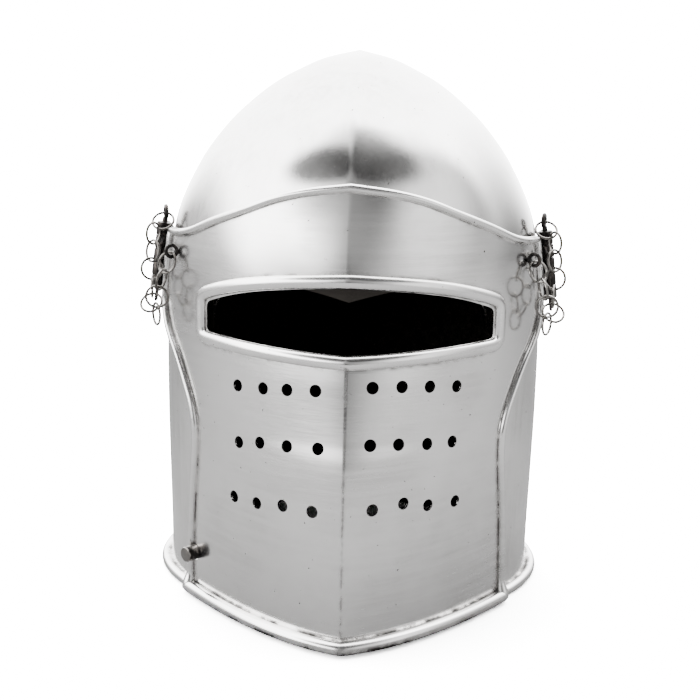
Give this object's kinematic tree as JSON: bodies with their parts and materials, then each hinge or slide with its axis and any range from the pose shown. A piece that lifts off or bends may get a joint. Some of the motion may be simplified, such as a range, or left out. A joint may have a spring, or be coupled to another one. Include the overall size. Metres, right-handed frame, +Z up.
{
  "type": "visored bascinet",
  "caption": "Steel war helmet with a pointed skull and a ridged visor that lifts on side arms, locked by a sprung stud, with hinge pins kept on short chains.",
  "frame": {"origin": "on the surface the helmet stands on, under the middle of its box", "axes": "+Z up, the face looks towards -Y, +X is the wearer's left side"},
  "size_m": [0.2462, 0.2536, 0.3198],
  "materials": {
    "plate": "satin polished plate with a fine grain and dark patina in the creases",
    "iron": "blackened forged iron with worn edges",
    "wire": "bright drawn wire"
  },
  "bodies": {
    "bowl": {"skull": "plate", "catch_cup": "iron", "temple_rivet_left": "iron", "temple_rivet_right": "iron"},
    "visor": {"visor": "plate", "visor_arm_left": "iron", "visor_arm_right": "iron", "visor_leaf_left": "iron", "visor_leaf_right": "iron", "hinge_pin_left": "iron", "hinge_pin_right": "iron", "chain_staple_left": "iron", "chain_staple_right": "iron", "chain_ring_1_left": "wire", "chain_ring_1_right": "wire", "chain_ring_2_left": "wire", "chain_ring_2_right": "wire", "chain_ring_3_left": "wire", "chain_ring_3_right": "wire", "chain_ring_4_left": "wire", "chain_ring_4_right": "wire", "chain_ring_5_left": "wire", "chain_ring_5_right": "wire", "chain_ring_6_left": "wire", "chain_ring_6_right": "wire", "chain_ring_7_left": "wire", "chain_ring_7_right": "wire", "chain_ring_8_left": "wire", "chain_ring_8_right": "wire", "chain_ring_9_left": "wire", "chain_ring_9_right": "wire", "chain_ring_10_left": "wire", "chain_ring_10_right": "wire"},
    "catch": {"catch_stud": "iron"}
  },
  "joints": [
    {"name": "visor_lift", "type": "hinge", "parent": "bowl", "child": "visor", "pos_m": [0, 0.03113, 0.2], "axis": [-1, 0, 0], "range_deg": [0, 70]},
    {"name": "catch_press", "type": "slide", "parent": "bowl", "child": "catch", "axis": [0.6528, 0.7575, 0], "range_m": [0, 0.01], "stiffness_N_per_m": 600}
  ]
}
